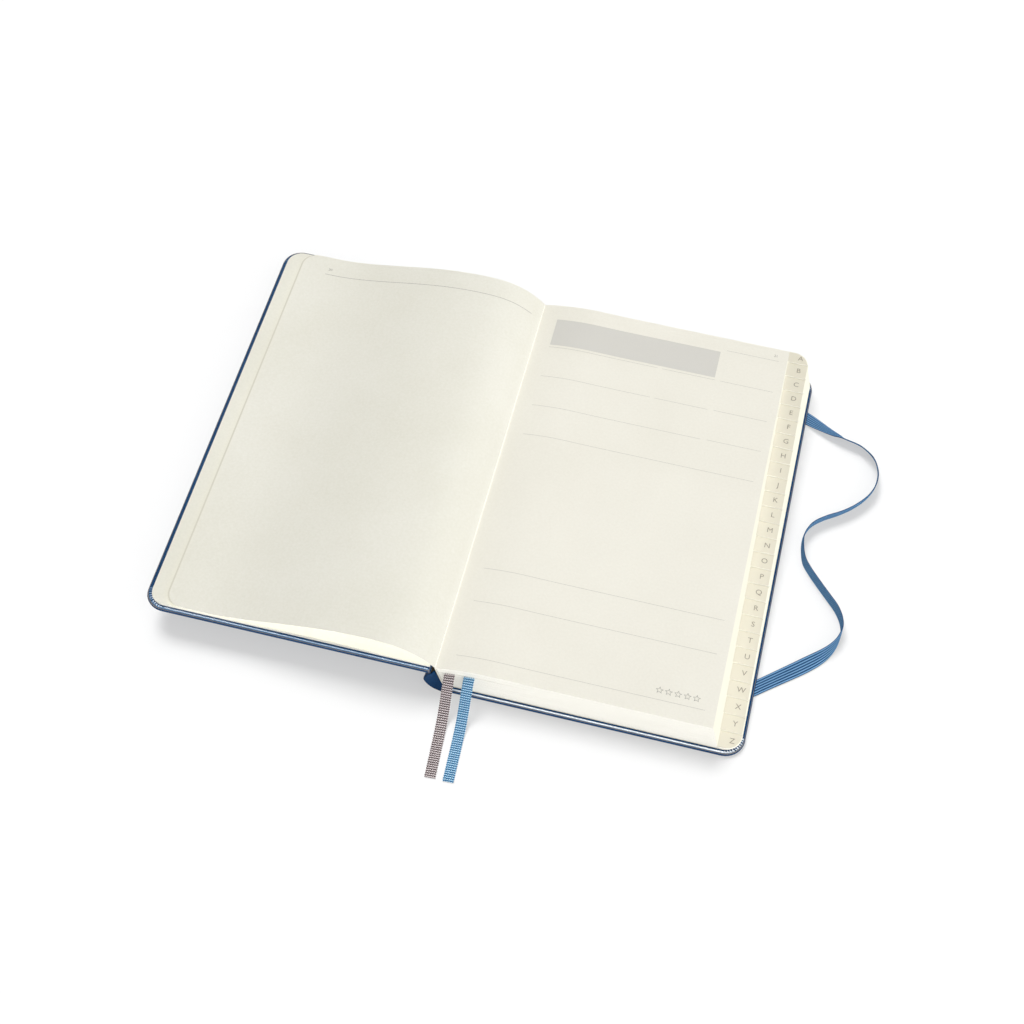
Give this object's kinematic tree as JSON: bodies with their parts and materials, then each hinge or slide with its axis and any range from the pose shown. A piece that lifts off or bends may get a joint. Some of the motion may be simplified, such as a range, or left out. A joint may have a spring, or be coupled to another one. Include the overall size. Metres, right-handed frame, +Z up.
{
  "type": "reading journal",
  "caption": "Open hard-cover journal with a step-cut alphabet index, two ribbon markers, a back pocket and an elastic strap.",
  "frame": {"origin": "middle of the open spread, below the spine, on the plane that the back cover lies on; the cords are left out of that middle", "axes": "+X from the front cover's fore-edge to the back cover's, +Y along the spine from the tail of the pages to their head, +Z up from the table"},
  "size_m": [0.3007, 0.2504, 0.0276],
  "materials": {
    "leatherette": "satin",
    "board": "matte",
    "cloth": "matte",
    "elastic": "matte",
    "grey_satin": "satin",
    "blue_satin": "satin",
    "page_paper": "matte",
    "index_paper": "matte"
  },
  "bodies": {
    "back_cover": {"back_cover_wrap": "leatherette", "back_cover_board": "board", "back_endpaper": "page_paper", "back_pocket_gusset": "cloth", "back_pocket_panel": "cloth", "end_leaves": "page_paper", "spine_wrap": "leatherette", "spine_strip": "board", "spine_lining": "cloth", "strap_anchor_head": "elastic", "strap_anchor_tail": "elastic", "elastic_strap": "elastic"},
    "index_lower": {"index_section_h": "index_paper", "index_section_i": "index_paper", "index_section_j": "index_paper", "index_section_k": "index_paper", "index_section_l": "index_paper", "index_section_m": "index_paper", "index_section_n": "index_paper", "index_section_o": "index_paper", "index_section_p": "index_paper", "index_section_q": "index_paper", "index_section_r": "index_paper", "index_section_s": "index_paper", "index_section_t": "index_paper", "index_section_u": "index_paper", "index_section_v": "index_paper", "index_section_w": "index_paper", "index_section_x": "index_paper", "index_section_y": "index_paper", "index_section_z": "index_paper", "grey_ribbon_held": "grey_satin", "blue_ribbon_held": "blue_satin", "grey_ribbon": "grey_satin", "blue_ribbon": "blue_satin"},
    "index_upper": {"index_section_b": "index_paper", "index_section_c": "index_paper", "index_section_d": "index_paper", "index_section_e": "index_paper", "index_section_f": "index_paper", "index_section_g": "index_paper"},
    "index_first": {"index_section_a": "index_paper"},
    "front_cover": {"front_cover_wrap": "leatherette", "front_cover_board": "board", "front_endpaper": "page_paper", "front_leaves": "page_paper"},
    "arched_leaves": {"arched_leaves": "page_paper"}
  },
  "joints": [
    {"name": "front_cover_turn", "type": "hinge", "parent": "back_cover", "child": "front_cover", "pos_m": [0, 0, 0.0187], "axis": [0, 1, 0], "range_deg": [-5, 180], "deforming": ["arched_leaves"]},
    {"name": "arched_leaves_turn", "type": "hinge", "parent": "front_cover", "child": "arched_leaves", "pos_m": [-0.0018, 0, 0.01579], "axis": [0, -1, 0], "range_deg": [-20, 0], "deforming": ["arched_leaves"]},
    {"name": "index_lower_turn", "type": "hinge", "parent": "back_cover", "child": "index_lower", "pos_m": [-0.0018, 0, 0.01579], "axis": [0, 1, 0], "range_deg": [-10, 0]},
    {"name": "index_upper_turn", "type": "hinge", "parent": "index_lower", "child": "index_upper", "pos_m": [-0.0018, 0, 0.01579], "axis": [0, 1, 0], "range_deg": [-10, 0]},
    {"name": "index_first_turn", "type": "hinge", "parent": "index_upper", "child": "index_first", "pos_m": [-0.0018, 0, 0.01579], "axis": [0, 1, 0], "range_deg": [-60, 0]}
  ]
}
